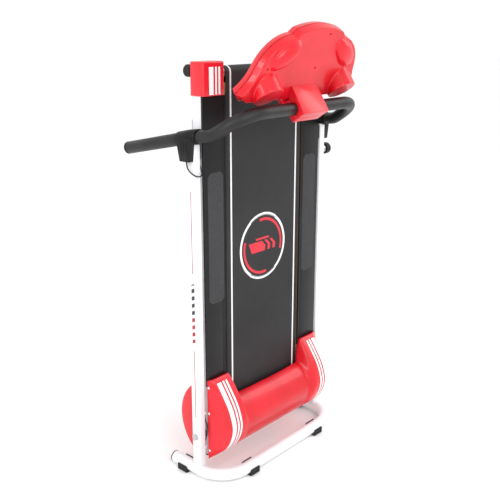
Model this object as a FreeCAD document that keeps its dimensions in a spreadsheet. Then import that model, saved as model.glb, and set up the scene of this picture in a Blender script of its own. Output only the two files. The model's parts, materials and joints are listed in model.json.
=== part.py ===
import FreeCAD, Part
import math
import os
import re
import types

import Sketcher
from FreeCAD import Placement, Rotation, Vector

os.makedirs("parts", exist_ok=True)
doc = FreeCAD.newDocument("FoldingTreadmill")

# A folding electric treadmill, stored with its deck stood upright. +X is to the
# right of someone facing its motor hood, +Y is the runner's side and +Z is up.
# Places along Y are measured from the face of the foot rails, and every piece is
# then moved back by footprintCentre, which puts the origin in the middle of the
# floor area. Everything is in millimetres.

SIZES = {
    "footprintCentre": 29.76,
    "fit": 0.05,
    "gap": 0.3,
    # the sizes that set the machine's width, length and height
    "beltHalf": 165, "railWide": 95, "sideTop": 1246, "uprightTop": 1040,
    # floor frame
    "baseTubeRadius": 18.5, "baseTubeWall": 1.5, "baseCorner": 95, "baseFront": 86, "legEnd": 126,
    "plugCap": 4, "plugInsert": 15, "padThick": 4, "padLength": 38,
    # uprights
    "uprightWide": 24, "uprightDeep": 35, "uprightWall": 2, "uprightClear": 10,
    "cableY": 8, "cableHigh": 210, "cableLow": 102, "cableRadius": 1.9,
    # deck frame
    "sideWide": 25, "sideFront": 6.3, "sideWall": 2, "sideBottom": 66,
    "crossWide": 30, "crossDeep": 20, "crossWall": 2, "crossA": 76, "flangeThick": 3, "flangeFront": 24,
    # pivot
    "pivotY": 19, "pivotZ": 139, "pivotRadius": 6, "pivotHead": 10, "headThick": 7, "bushRadius": 13,
    # running surface
    "beltThick": 1.8, "rollerRadius": 16.5, "frontRollerZ": 215, "axleRadius": 6, "boardThick": 13,
    "cushionRadius": 8, "railPlate": 3, "railLip": 4.6, "railSkirt": 6, "railBottom": 300,
    "stripTall": 390, "stripThick": 0.9, "stripCorner": 12,
    # rear caps and feet
    "capFront": 6, "capWall": 3, "footRadius": 17, "footNeck": 11, "footLong": 24,
    # drive
    "rollerPulley": 30, "motorPulley": 12, "pulleyWide": 16, "motorY": 35, "motorRadius": 42,
    "motorLong": 150, "shaftRadius": 5, "flywheelRadius": 36, "flywheelWide": 12,
    "driveBeltThick": 3, "cradleThick": 3,
    # hood, belly pan and power entry
    "hoodWall": 3, "bellyY": 15, "bellyZ": 171, "bellyBottom": 56,
    "entryWide": 168, "entryDeep": 27, "entryY": 25, "socketX": 60,
    # handlebar
    "barRadius": 14, "barEndY": 266, "barBendY": 12, "barKickY": 50, "bowFront": 150, "bowCorner": 96,
    "collarFront": -10, "collarBack": 60, "collarStem": 19,
    # lock
    "lockY": 15, "plungerRadius": 4, "plungerTravel": 12, "knobRadius": 20,
    "knobDepth": 24, "housingRadius": 14, "housingDepth": 12,
    # console, in its own tilted frame
    "consoleLean": 25, "consoleDepth": 22, "consoleWall": 3, "frontDepth": 20,
    "windowWide": 150, "windowTall": 62, "buttonRadius": 7,
    "cupX": 163, "cupLean": 33, "cupRadius": 43, "cupLow": -46,
    "bracketHalf": 56, "bracketFace": 28, "bracketBack": 22, "bracketLow": 30, "bracketHigh": 60,
}

# Sizes that follow from others, so that pieces stay together when one is changed.
FOLLOWING = {
    "deckHalf": "beltHalf + railWide", "sideOuter": "deckHalf - 4", "crossHalf": "sideOuter - 16",
    "axleHalf": "sideOuter - 12", "tongueHalf": "sideOuter - sideWide - 2", "bellyHalf": "deckHalf - 8",
    "baseHalf": "deckHalf + uprightClear + uprightWide / 2", "padFrontX": "baseHalf - baseCorner - 26",
    "legPadY": "legEnd - 13 - padLength / 2",
    "rollerY": "rollerRadius + 5", "sideDeep": "2 * rollerRadius + 5",
    "rollerHalf": "beltHalf + 7", "railInner": "beltHalf + 4", "boardHalf": "railInner + 7",
    "cushionX": "boardHalf - 18", "flangeInner": "boardHalf - 36", "capInner": "railInner + 10",
    "stripInner": "railInner + 13", "stripOuter": "deckHalf - 15",
    "rearRollerZ": "sideTop - 25", "capTop": "sideTop + 7", "capBottom": "sideTop - 84",
    "footZ": "sideTop - 19",
    "boardTop": "rearRollerZ - 27", "boardBottom": "frontRollerZ + 37", "flangeTop": "boardTop - 44",
    "stripTop": "capBottom - 212", "stripBottom": "stripTop - stripTall",
    "crossB": "frontRollerZ + 1.5 * rollerPulley - 5", "crossD": "flangeTop - 70", "crossC": "crossD - 430",
    "flangeBottom": "crossB + 35", "footStart": "sideFront + sideDeep + 5.7",
    "footTip": "footStart + footLong", "pulleyX": "rollerHalf + 8 + pulleyWide / 2",
    "flywheelX": "pulleyX + pulleyWide / 2 + 4 + flywheelWide / 2",
    "shaftEnd": "flywheelX + flywheelWide / 2 + 2", "motorRight": "pulleyX - 63",
    "motorLeft": "motorRight - motorLong", "motorZ": "crossA + crossWide / 2 + 2 + motorRadius",
    "cradleFront": "motorY + motorRadius + 2",
    "hoodInner": "beltHalf + 3", "hoodCorner": "deckHalf - 20", "bellyRadius": "sideDeep + 104",
    "foamRadius": "barRadius + 4", "barHalf": "baseHalf + 18", "barBendHalf": "baseHalf + 7",
    "barKickHalf": "baseHalf - 8", "bowHalf": "baseHalf - 20", "barBendZ": "uprightTop + barRadius + 2",
    "barEndZ": "barBendZ - 54", "bowZ": "barBendZ + 68", "collarRadius": "foamRadius + 3",
    "collarFoot": "uprightTop - 50", "lockZ": "uprightTop - 85",
    "consoleY": "bowFront", "consoleZ": "bowZ + 76", "cupY": "bowFront - 20",
    "cupBore": "cupRadius - consoleWall",
}

sheet = doc.addObject("Spreadsheet::Sheet", "Sizes")
for row, (alias, number) in enumerate(SIZES.items(), start=1):
    sheet.set(f"A{row}", str(number))
    sheet.setAlias(f"A{row}", alias)


def linked(text):
    """Turns plain size names into references to the sheet or to the sizes that follow from it."""
    def reference(match):
        word = match.group()
        return "Sizes." + word if word in SIZES else "Following." + word if word in FOLLOWING else word
    return re.sub(r"[A-Za-z]+", reference, text)


def bind(thing, path, text):
    thing.setExpression(path, linked(text))


followers = doc.addObject("App::VarSet", "Following")
for name, text in FOLLOWING.items():
    followers.addProperty("App::PropertyFloat", name)
    bind(followers, name, text)
doc.recompute()
size = types.SimpleNamespace(**{alias: float(sheet.get(alias)) for alias in SIZES},
                             **{name: getattr(followers, name) for name in FOLLOWING})
SIDES = (("left", -1), ("right", 1))
nodes = []


# ---- helpers ----

def place(thing, x, y, z):
    bind(thing, "Placement.Base.x", x)
    bind(thing, "Placement.Base.y", f"{y} - footprintCentre")
    bind(thing, "Placement.Base.z", z)


def block(name, lengths, centre):
    box = doc.addObject("Part::Box", name)
    for path, text in zip(("Length", "Width", "Height"), lengths):
        bind(box, path, text)
    place(box, *[f"({c}) - ({n}) / 2" for c, n in zip(centre, lengths)])
    return box


def rod(name, radius, length, centre, along="x"):
    cylinder = doc.addObject("Part::Cylinder", name)
    bind(cylinder, "Radius", radius)
    bind(cylinder, "Height", length)
    turn = {"x": Rotation(Vector(0, 1, 0), 90), "y": Rotation(Vector(1, 0, 0), -90), "z": Rotation()}
    cylinder.Placement = Placement(Vector(), turn[along])
    start = [f"({c}) - ({length}) / 2" if axis == along else c for c, axis in zip(centre, "xyz")]
    place(cylinder, *start)
    return cylinder


def hexagon(name, corner, length, centre):
    """A hexagonal head or nut along X."""
    prism = doc.addObject("Part::Prism", name)
    prism.Polygon = 6
    bind(prism, "Circumradius", corner)
    bind(prism, "Height", length)
    prism.Placement = Placement(Vector(), Rotation(Vector(0, 1, 0), 90))
    place(prism, f"({centre[0]}) - ({length}) / 2", centre[1], centre[2])
    return prism


def fuse(name, parts):
    joined = doc.addObject("Part::MultiFuse", name)
    joined.Shapes = parts
    return joined


def cut(name, base, tools):
    tool = tools[0] if len(tools) == 1 else fuse(name + "Tools", tools)
    result = doc.addObject("Part::Cut", name)
    result.Base = base
    result.Tool = tool
    return result


def padded(name, plane, outlines, length, offset="0", midplane=False):
    """A body padded from closed outlines; each corner is a pair of expressions."""
    body = doc.addObject("PartDesign::Body", name)
    sketch = body.newObject("Sketcher::SketchObject", name + "Sketch")
    base = [feature for feature in body.Origin.OriginFeatures if feature.Role == plane][0]
    sketch.AttachmentSupport = (base, [""])
    sketch.MapMode = "FlatFace"
    for outline in outlines:
        first = sketch.GeometryCount
        count = len(outline)
        start = [Vector(10 * math.cos(2 * math.pi * i / count), 10 * math.sin(2 * math.pi * i / count), 0)
                 for i in range(count)]
        for i in range(count):
            sketch.addGeometry(Part.LineSegment(start[i], start[(i + 1) % count]), False)
        for i in range(count):
            following = first + (i + 1) % count
            sketch.addConstraint(Sketcher.Constraint("Coincident", first + i, 2, following, 1))
        for i, corner in enumerate(outline):
            for kind, text, now in zip(("DistanceX", "DistanceY"), corner, (start[i].x, start[i].y)):
                index = sketch.addConstraint(Sketcher.Constraint(kind, -1, 1, first + i, 1, now))
                bind(sketch, f"Constraints[{index}]", text)
    pad = body.newObject("PartDesign::Pad", name + "Pad")
    pad.Profile = sketch
    pad.Midplane = midplane
    bind(pad, "Length", length)
    place(body, "0", "0", "0")
    lift = {"XY_Plane": "z", "YZ_Plane": "x", "XZ_Plane": "y"}[plane]
    shift = offset if lift != "y" else f"{offset} - footprintCentre"
    bind(body, f"Placement.Base.{lift}", shift)
    return body


def made(name, shape, placement=None):
    """A piece whose shape comes from Part's own functions."""
    feature = doc.addObject("Part::Feature", name)
    feature.Shape = shape
    feature.Placement = placement or Placement(Vector(0, -size.footprintCentre, 0), Rotation())
    return feature


def node(label, thing):
    thing.Label = label
    nodes.append(thing)
    return thing


def roundedPath(points, radii):
    """A wire of straight runs whose inner corners are tangent arcs."""
    edges = []
    here = points[0]
    for before, corner, after, radius in zip(points, points[1:], points[2:], radii):
        back = (before - corner).normalize()
        on = (after - corner).normalize()
        half = back.getAngle(on) / 2
        trim = radius / math.tan(half)
        start = corner + back * trim
        end = corner + on * trim
        middle = corner + (back + on).normalize() * (radius / math.sin(half) - radius)
        edges.append(Part.LineSegment(here, start).toShape())
        edges.append(Part.Arc(start, middle, end).toShape())
        here = end
    edges.append(Part.LineSegment(here, points[-1]).toShape())
    return Part.Wire(edges)


def swept(path, radius):
    first = path.Edges[0]
    ring = Part.Circle(path.OrderedVertexes[0].Point, first.tangentAt(first.FirstParameter), radius)
    return path.makePipeShell([Part.Wire(ring.toShape())], True, True, 2)


def tube(path, outer, inner):
    return swept(path, outer).cut(swept(path, inner))


def extruded(outline, start, end):
    """A closed Y-Z outline taken from x = start to x = end."""
    face = Part.Face(outline)
    face.translate(Vector(start, 0, 0))
    return face.extrude(Vector(end - start, 0, 0))


def yz(y, z):
    return Vector(0, y, z)


def arc(a, b, c):
    return Part.Arc(a, b, c).toShape()


def line(a, b):
    return Part.LineSegment(a, b).toShape()


# ---- floor frame ----

baseHeight = "(padThick + baseTubeRadius)"
baseZ = size.padThick + size.baseTubeRadius
basePath = roundedPath([Vector(-size.baseHalf, size.legEnd, baseZ),
                        Vector(-size.baseHalf, -size.baseFront, baseZ),
                        Vector(size.baseHalf, -size.baseFront, baseZ),
                        Vector(size.baseHalf, size.legEnd, baseZ)], [size.baseCorner] * 2)
baseBore = size.baseTubeRadius - size.baseTubeWall
node("base_tube", made("BaseTube", tube(basePath, size.baseTubeRadius, baseBore)))
baseOuter = made("BaseOuter", swept(basePath, size.baseTubeRadius))


def endPlugs():
    parts = []
    for side, sign in SIDES:
        x = f"{sign} * baseHalf"
        parts.append(rod(f"PlugCap{side}", "baseTubeRadius", "plugCap",
                         (x, "legEnd + plugCap / 2", baseHeight), "y"))
        parts.append(rod(f"PlugInsert{side}", "baseTubeRadius - baseTubeWall", "plugInsert",
                         (x, "legEnd - plugInsert / 2", baseHeight), "y"))
    return fuse("BasePlugs", parts)


def floorPads():
    """Clip-on rubber pads that wrap the tube from below."""
    wide = "2 * (padThick + baseTubeRadius)"
    blocks = []
    for side, sign in SIDES:
        blocks.append(block(f"FrontPad{side}", ("padLength", wide, baseHeight),
                            (f"{sign} * padFrontX", "-baseFront", f"{baseHeight} / 2")))
        blocks.append(block(f"LegPad{side}", (wide, "padLength", baseHeight),
                            (f"{sign} * baseHalf", "legPadY - padLength / 2", f"{baseHeight} / 2")))
    return cut("FloorPads", fuse("PadBlocks", blocks), [baseOuter])


node("base_end_plugs", endPlugs())
node("floor_pads", floorPads())


# ---- route of the handlebar, which the uprights and the collars are cut to ----

bar = [Vector(-size.barHalf, size.barEndY, size.barEndZ),
       Vector(-size.barBendHalf, size.barBendY, size.barBendZ),
       Vector(-size.barKickHalf, -size.barKickY, size.barBendZ + 6),
       Vector(-size.bowHalf, -size.bowFront, size.bowZ)]
barPoints = bar + [Vector(-p.x, p.y, p.z) for p in reversed(bar)]
gripBend = 70
kickBend = 60
barPath = roundedPath(barPoints, [gripBend, kickBend, size.bowCorner, size.bowCorner, kickBend, gripBend])
barSolid = swept(barPath, size.barRadius)
barOuter = made("BarOuter", barSolid)


# ---- uprights ----

uprightInner = "(baseHalf - uprightWide / 2)"
uprightOuter = "(baseHalf + uprightWide / 2)"


def upright(side, sign):
    x = f"{sign} * baseHalf"
    tall = f"uprightTop - {baseHeight}"
    middle = f"{baseHeight} + ({tall}) / 2"
    outer = block(f"Upright{side}Outer", ("uprightWide", "uprightDeep", tall), (x, "uprightDeep / 2", middle))
    inner = block(f"Upright{side}Inner", ("uprightWide - 2 * uprightWall", "uprightDeep - 2 * uprightWall",
                                         f"{tall} + 2"), (x, "uprightDeep / 2", middle))
    pivot = rod(f"Upright{side}Pivot", "pivotRadius", "2 * uprightWide", (x, "pivotY", "pivotZ"))
    tools = [baseOuter, barOuter, inner, pivot]
    if side == "right":
        tools.append(rod("UprightLockHole", "plungerRadius + fit", "2 * uprightWide", (x, "lockY", "lockZ")))
        return cut("UprightRight", outer, tools)
    ears = [block(f"CableEar{name}", ("7", "9", "8"), (f"-{uprightInner} + 3.5", "cableY", z))
            for name, z in (("High", "cableHigh + 4"), ("Low", "cableLow - 4"))]
    return fuse("UprightLeft", [cut("UprightLeftTube", outer, tools)] + ears)


for side, sign in SIDES:
    node(f"{side}_upright", upright(side, sign))


# ---- deck frame: side members, cross tubes and board flanges ----

sideMiddle = "(sideOuter - sideWide / 2)"
sideY = "(sideFront + sideDeep / 2)"
sideBack = "(sideFront + sideDeep)"


def sideMember(side, sign):
    x = f"{sign} * {sideMiddle}"
    tall = "(sideTop - sideBottom)"
    middle = f"sideBottom + {tall} / 2"
    outer = block(f"Side{side}Outer", ("sideWide", "sideDeep", tall), (x, sideY, middle))
    tools = [block(f"Side{side}Inner", ("sideWide - 2 * sideWall", "sideDeep - 2 * sideWall", f"{tall} + 2"),
                   (x, sideY, middle)),
             rod(f"Side{side}Pivot", "pivotRadius + fit", "2 * sideWide", (x, "pivotY", "pivotZ"))]
    for name, z in (("Front", "frontRollerZ"), ("Rear", "rearRollerZ")):
        tools.append(rod(f"Side{side}{name}Axle", "axleRadius", "sideWide",
                         (f"{sign} * (sideOuter - sideWide)", "rollerY", z)))
    if side == "right":
        tools.append(rod("SideLockHole", "1.5 * plungerRadius", "sideWide", ("sideOuter", "lockY", "lockZ")))
    return cut(f"Side{side}", outer, tools)


def crossTubes():
    outers = []
    inners = []
    for i, z in enumerate(("crossA", "crossB", "crossC", "crossD")):
        centre = ("0", f"{sideBack} + crossDeep / 2", z)
        outers.append(block(f"Cross{i}", ("2 * crossHalf", "crossDeep", "crossWide"), centre))
        inners.append(block(f"Cross{i}Inner", ("2 * crossHalf + 2", "crossDeep - 2 * crossWall",
                                               "crossWide - 2 * crossWall"), centre))
    return cut("CrossTubes", fuse("CrossOuters", outers), inners)


def boardFlanges():
    wide = "(sideOuter - sideWide - flangeInner)"
    return fuse("BoardFlanges", [
        block(f"Flange{side}", (wide, "flangeThick", "flangeTop - flangeBottom"),
              (f"{sign} * (flangeInner + {wide} / 2)", "flangeFront + flangeThick / 2",
               "(flangeTop + flangeBottom) / 2")) for side, sign in SIDES])


def framePlugs():
    return fuse("FramePlugs", [block(f"FramePlug{side}", ("sideWide", "sideDeep", "plugCap"),
                                     (f"{sign} * {sideMiddle}", sideY, "sideBottom - plugCap / 2"))
                               for side, sign in SIDES])


for side, sign in SIDES:
    node(f"{side}_side_member", sideMember(side, sign))
node("deck_cross_tubes", crossTubes())
node("board_flanges", boardFlanges())
node("frame_end_plugs", framePlugs())


# ---- pivot bolts, bushes and nuts ----

nutThick = "(sideWide / 3)"
pivotBolts = []
pivotBushes = []
pivotNuts = []
for side, sign in SIDES:
    start = f"(sideOuter - sideWide - gap - {nutThick})"
    shank = f"({uprightOuter} - {start})"
    pivotBolts.append(rod(f"PivotShank{side}", "pivotRadius", shank,
                          (f"{sign} * ({start} + {shank} / 2)", "pivotY", "pivotZ")))
    pivotBolts.append(hexagon(f"PivotHead{side}", "pivotHead", "headThick",
                              (f"{sign} * ({uprightOuter} + headThick / 2)", "pivotY", "pivotZ")))
    wide = f"({uprightInner} - sideOuter - gap)"
    bush = rod(f"Bush{side}Outer", "bushRadius", wide,
               (f"{sign} * ({uprightInner} - {wide} / 2)", "pivotY", "pivotZ"))
    hole = rod(f"Bush{side}Hole", "pivotRadius", "2 * sideWide",
               (f"{sign} * {uprightInner}", "pivotY", "pivotZ"))
    pivotBushes.append(cut(f"Bush{side}", bush, [hole]))
    centre = (f"{sign} * ({start} + {nutThick} / 2)", "pivotY", "pivotZ")
    nutHole = rod(f"Nut{side}Hole", "pivotRadius", "sideWide", centre)
    pivotNuts.append(cut(f"Nut{side}", hexagon(f"Nut{side}Body", "pivotHead", nutThick, centre), [nutHole]))
node("pivot_bolts", fuse("PivotBolts", pivotBolts))
node("pivot_bushes", fuse("PivotBushes", pivotBushes))
node("pivot_nuts", fuse("PivotNuts", pivotNuts))


# ---- running surface ----

def stadium(name, radius, half):
    """The solid that a loop of that radius round both rollers encloses."""
    middle = "(frontRollerZ + rearRollerZ) / 2"
    parts = [block(f"{name}Run", (f"2 * {half}", f"2 * ({radius})", "rearRollerZ - frontRollerZ"),
                   ("0", "rollerY", middle))]
    for end in ("frontRollerZ", "rearRollerZ"):
        parts.append(rod(f"{name}{end}", radius, f"2 * {half}", ("0", "rollerY", end)))
    return fuse(name, parts)


loopRadius = "(rollerRadius + gap)"
boardFront = f"(rollerY - {loopRadius} + gap)"
boardBack = f"({boardFront} + boardThick)"
node("running_belt", cut("RunningBelt", stadium("BeltOuter", f"{loopRadius} + beltThick", "beltHalf"),
                         [stadium("BeltInner", loopRadius, "(beltHalf + 1)")]))
node("deck_board", block("DeckBoard", ("2 * boardHalf", "boardThick", "boardTop - boardBottom"),
                         ("0", f"{boardFront} + boardThick / 2", "(boardTop + boardBottom) / 2")))
node("board_cushions", fuse("Cushions", [
    rod(f"Cushion{side}{i}", "cushionRadius", f"flangeFront - {boardBack}",
        (f"{sign} * cushionX", f"(flangeFront + {boardBack}) / 2",
         f"flangeBottom + 30 + {i} * (flangeTop - flangeBottom - 60) / 3"), "y")
    for side, sign in SIDES for i in range(4)]))
axles = []
for name, z in (("front", "frontRollerZ"), ("rear", "rearRollerZ")):
    centre = ("0", "rollerY", z)
    bore = rod(f"{name}RollerBore", "axleRadius + fit", "2 * rollerHalf + 2", centre)
    sleeve = rod(f"{name}RollerTube", "rollerRadius", "2 * rollerHalf", centre)
    node(f"{name}_roller", cut(f"{name}Roller", sleeve, [bore]))
    axles.append(rod(f"{name}Axle", "axleRadius", "2 * axleHalf", centre))
node("roller_axles", fuse("RollerAxles", axles))


def footRail(side, sign):
    outer = f"{sign} * deckHalf"
    inner = f"{sign} * railInner"
    outerWall = f"{sign} * (deckHalf - railPlate)"
    innerWall = f"{sign} * (railInner + railPlate)"
    outline = [(inner, "0"), (outer, "0"), (outer, "railSkirt"), (outerWall, "railSkirt"),
               (outerWall, "railPlate"), (innerWall, "railPlate"), (innerWall, "railLip"), (inner, "railLip")]
    return padded(f"Rail{side}", "XY_Plane", [outline], "capBottom - gap - railBottom", "railBottom")


def gripStrip(side, sign):
    corners = [("stripInner", "stripBottom + stripCorner"), ("stripInner + stripCorner", "stripBottom"),
               ("stripOuter - stripCorner", "stripBottom"), ("stripOuter", "stripBottom + stripCorner"),
               ("stripOuter", "stripTop - stripCorner"), ("stripOuter - stripCorner", "stripTop"),
               ("stripInner + stripCorner", "stripTop"), ("stripInner", "stripTop - stripCorner")]
    outline = [(f"{sign} * ({x})", z) for x, z in corners]
    return padded(f"Strip{side}", "XZ_Plane", [outline], "stripThick", "0")


for side, sign in SIDES:
    node(f"{side}_foot_rail", footRail(side, sign))
node("grip_strips", fuse("GripStrips", [gripStrip(side, sign) for side, sign in SIDES]))


# ---- rear caps and feet ----

def rearCap(side, sign):
    wide = "(deckHalf - capInner)"
    deep = f"(capFront + {sideBack})"
    tall = "(capTop - capBottom)"
    x = f"{sign} * (capInner + {wide} / 2)"
    shell = block(f"Cap{side}Outer", (wide, deep, tall),
                  (x, f"{sideBack} - {deep} / 2", f"capBottom + {tall} / 2"))
    hollow = block(f"Cap{side}Inner", (f"{wide} - 2 * capWall", deep, tall),
                   (x, f"{sideBack} - {deep} / 2 + capWall", f"capBottom + {tall} / 2 - capWall"))
    slotDeep = f"({sideBack} - rollerY + 2 * axleRadius)"
    slot = block(f"Cap{side}Slot", ("3 * capWall", slotDeep, "3 * axleRadius"),
                 (f"{sign} * (capInner + capWall / 2)", f"rollerY - 1.5 * axleRadius + {slotDeep} / 2",
                  "rearRollerZ"))
    return cut(f"Cap{side}", shell, [hollow, slot])


def rearFoot(side, sign):
    x = f"{sign} * {sideMiddle}"
    neck = rod(f"Foot{side}Neck", "footNeck", f"footStart - {sideBack}",
               (x, f"(footStart + {sideBack}) / 2", "footZ"), "y")
    disc = rod(f"Foot{side}Disc", "footRadius", "footTip - footStart",
               (x, "(footStart + footTip) / 2", "footZ"), "y")
    return fuse(f"Foot{side}", [neck, disc])


node("rear_caps", fuse("RearCaps", [rearCap(side, sign) for side, sign in SIDES]))
node("rear_feet", fuse("RearFeet", [rearFoot(side, sign) for side, sign in SIDES]))


# ---- drive: motor, pulleys, belt, cradle and controller ----

motorMiddle = "(motorLeft + motorRight) / 2"
rollerCentre = ("pulleyX", "rollerY", "frontRollerZ")
motorCentre = (motorMiddle, "motorY", "motorZ")
hubLong = "(pulleyX - pulleyWide / 2 - rollerHalf)"
node("roller_pulley", cut("RollerPulley", fuse("RollerPulleyBody", [
    rod("RollerPulleyRim", "rollerPulley", "pulleyWide", rollerCentre),
    rod("RollerPulleyHub", "rollerRadius", hubLong,
        (f"rollerHalf + {hubLong} / 2", "rollerY", "frontRollerZ"))]),
    [rod("RollerPulleyBore", "axleRadius + fit", "4 * pulleyWide", rollerCentre)]))
node("motor_body", cut("MotorBody", fuse("MotorShell", [
    rod("MotorCan", "motorRadius", "motorLong - 20", motorCentre),
    rod("MotorBells", "motorRadius - 6", "motorLong", motorCentre)]),
    [rod("MotorBore", "shaftRadius + fit", "40", ("motorRight", "motorY", "motorZ"))]))
shaftStart = "(motorRight - 19)"
node("motor_shaft", fuse("MotorShaft", [
    rod("MotorShaftRod", "shaftRadius", f"shaftEnd - {shaftStart}",
        (f"(shaftEnd + {shaftStart}) / 2", "motorY", "motorZ")),
    rod("MotorPulley", "motorPulley", "pulleyWide", ("pulleyX", "motorY", "motorZ"))]))
node("flywheel", cut("Flywheel", rod("FlywheelDisc", "flywheelRadius", "flywheelWide",
                                     ("flywheelX", "motorY", "motorZ")),
                     [rod("FlywheelBore", "shaftRadius", "3 * flywheelWide",
                          ("flywheelX", "motorY", "motorZ"))]))


def beltRound(large, small):
    """The area that a band round both pulleys encloses, in the Y-Z plane."""
    top = yz(size.rollerY, size.frontRollerZ)
    bottom = yz(size.motorY, size.motorZ)
    along = (bottom - top).normalize()
    across = Vector(0, -along.z, along.y)
    lean = (large - small) / (bottom - top).Length
    rise = math.sqrt(1 - lean * lean)
    ends = [along * lean + across * (turn * rise) for turn in (1, -1)]
    a, b = top + ends[0] * large, bottom + ends[0] * small
    c, d = bottom + ends[1] * small, top + ends[1] * large
    return Part.Wire([line(a, b), arc(b, bottom + along * small, c),
                      line(c, d), arc(d, top - along * large, a)])


beltStart = size.pulleyX - size.pulleyWide / 2 + 1
beltStop = size.pulleyX + size.pulleyWide / 2 - 1
bandInner = beltRound(size.rollerPulley + size.gap, size.motorPulley + size.gap)
bandOuter = beltRound(size.rollerPulley + size.gap + size.driveBeltThick,
                      size.motorPulley + size.gap + size.driveBeltThick)
node("drive_belt", made("DriveBelt", extruded(bandOuter, beltStart, beltStop).cut(
    extruded(bandInner, beltStart - 1, beltStop + 1))))

crossBack = f"({sideBack} + crossDeep)"
spacer = f"(cradleFront - {crossBack})"
saddles = cut("MotorSaddles", fuse("SaddleBlocks", [
    block(f"Saddle{i}", ("18", "30", "70"), (f"{motorMiddle} + {shift}", "cradleFront - 15", "motorZ"))
    for i, shift in enumerate((-40, 40))]), [rod("SaddleCut", "motorRadius", "motorLong", motorCentre)])
node("motor_cradle", fuse("MotorCradle", [saddles,
    block("CradlePlate", ("2 * beltHalf + 30", "cradleThick", "crossB - crossA - 4"),
          ("-30", "cradleFront + cradleThick / 2", "(crossA + crossB) / 2")),
    block("CradleLow", ("2 * beltHalf + 30", spacer, "12"),
          ("-30", f"cradleFront - {spacer} / 2", "crossA + 8")),
    block("CradleHigh", ("2 * beltHalf + 30", spacer, "12"),
          ("-30", f"cradleFront - {spacer} / 2", "crossB - 4"))]))
fins = [block(f"Fin{i}", ("3", "14", "80"), (f"-130 + {-48 + 16 * i}", "cradleFront - 33", "150"))
        for i in range(7)]
node("controller_box", fuse("Controller", fins + [
    block("ControllerBox", ("130", "26", "100"), ("-130", "cradleFront - 13", "150"))]))


# ---- motor hood ----

def hoodOutline(nose, inset):
    """Side view of the hood; nose is "block" at the striped sides, "panel" between them."""
    if nose == "block":
        top, bend, chin = yz(-8, 322), yz(-72, 236), yz(-74, 136)
        front = yz(-86, 187)
        under = yz(-54, 102)
    else:
        top, bend, chin = yz(-14, 241), yz(-53, 212), yz(-64, 132)
        front = yz(-71, 172)
        under = yz(-48, 101)
    toe = yz(-6, 56)
    edges = [line(yz(0, top.z - 4), top), line(top, bend), arc(bend, front, chin), arc(chin, under, toe),
             line(toe, yz(0, toe.z))]
    wire = Part.Wire(edges + [line(yz(0, toe.z), yz(0, top.z - 4))])
    if inset:
        wire = Part.Face(wire).makeOffset2D(-inset).OuterWire
    return wire


def hoodSolid(inset):
    """The hood's outer form, or the hollow inside it for a given wall."""
    corner = size.hoodCorner - inset
    edge = size.deckHalf - inset
    middle = extruded(hoodOutline("panel", inset), -size.hoodInner - inset, size.hoodInner + inset)
    for sign in (-1, 1):
        outline = hoodOutline("block", inset)
        inner = sign * (size.hoodInner + inset)
        middle = middle.fuse(extruded(outline, inner, sign * corner))
        flank = outline.copy()
        flank.translate(Vector(sign * corner, 0, 0))
        flat = outline.copy()
        squeeze = FreeCAD.Matrix()
        squeeze.A22 = 0.12
        flat = flat.transformGeometry(squeeze)
        flat.translate(Vector(sign * edge, 0, 0))
        middle = middle.fuse(Part.makeLoft([flank, flat], True, True))
    return middle.removeSplitter()


def hoodShell():
    lift = Vector(0, size.hoodWall + 1, 0)
    hollow = hoodSolid(size.hoodWall)
    shell = hoodSolid(0).cut(hollow)
    shell = shell.cut(hollow.translated(lift))
    shell.translate(Vector(0, -size.gap, 0))
    return shell.cut(screws)


def hoodScrews():
    heads = []
    for _, sign in SIDES:
        for z in (87, 214, 300):
            start = Vector(sign * (size.deckHalf - 4), -6, z)
            heads.append(Part.makeCylinder(4, 5, start, Vector(sign, 0, 0)))
    return Part.makeCompound(heads)


screws = hoodScrews()
node("hood_screws", made("HoodScrews", screws))
node("motor_hood", made("MotorHood", hoodShell()))


# ---- belly pan ----

def bellyOutline(inset):
    radius = size.bellyRadius - inset
    top = size.sideFront + size.sideDeep + size.gap
    low = size.bellyBottom + inset
    centre = yz(-size.bellyY, size.bellyZ)
    start = centre + yz(math.sqrt(radius ** 2 - (low - size.bellyZ) ** 2), low - size.bellyZ)
    end = centre + yz(top + size.bellyY, math.sqrt(radius ** 2 - (top + size.bellyY) ** 2))
    return Part.Wire([line(yz(top, low), start), arc(start, centre + yz(radius, 0), end),
                      line(end, yz(top, low))])


def bellyPan():
    wall = size.hoodWall
    top = size.sideFront + size.sideDeep + size.gap
    pan = extruded(bellyOutline(0), -size.bellyHalf, size.bellyHalf)
    tongue = Part.makeBox(2 * size.tongueHalf, top, wall, Vector(-size.tongueHalf, 0, size.bellyBottom))
    hollow = extruded(bellyOutline(wall), -size.bellyHalf + wall, size.bellyHalf - wall)
    pan = pan.cut(hollow).cut(hollow.translated(Vector(0, -2, 0))).fuse(tongue)
    for x, half in ((-size.socketX, 15), (size.socketX, 14)):
        pan = pan.cut(Part.makeBox(2 * half, 22, 3 * wall,
                                   Vector(x - half, size.entryY - 11, size.bellyBottom - wall)))
    return pan.removeSplitter()


node("belly_pan", made("BellyPan", bellyPan()))

node("power_entry", cut("PowerEntry", fuse("PowerEntrySolid", [
    block("EntryPlate", ("entryWide", "entryDeep", "2"), ("0", "entryY", "bellyBottom - 1")),
    block("SwitchBody", ("30", "22", "26"), ("-socketX", "entryY", "bellyBottom + 13")),
    block("InletBody", ("28", "22", "28"), ("socketX", "entryY", "bellyBottom + 14"))]),
    [block("SwitchWell", ("25", "16", "20"), ("-socketX", "entryY", "bellyBottom + 6")),
     block("InletWell", ("24", "18", "26"), ("socketX", "entryY", "bellyBottom + 8"))]))


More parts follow.
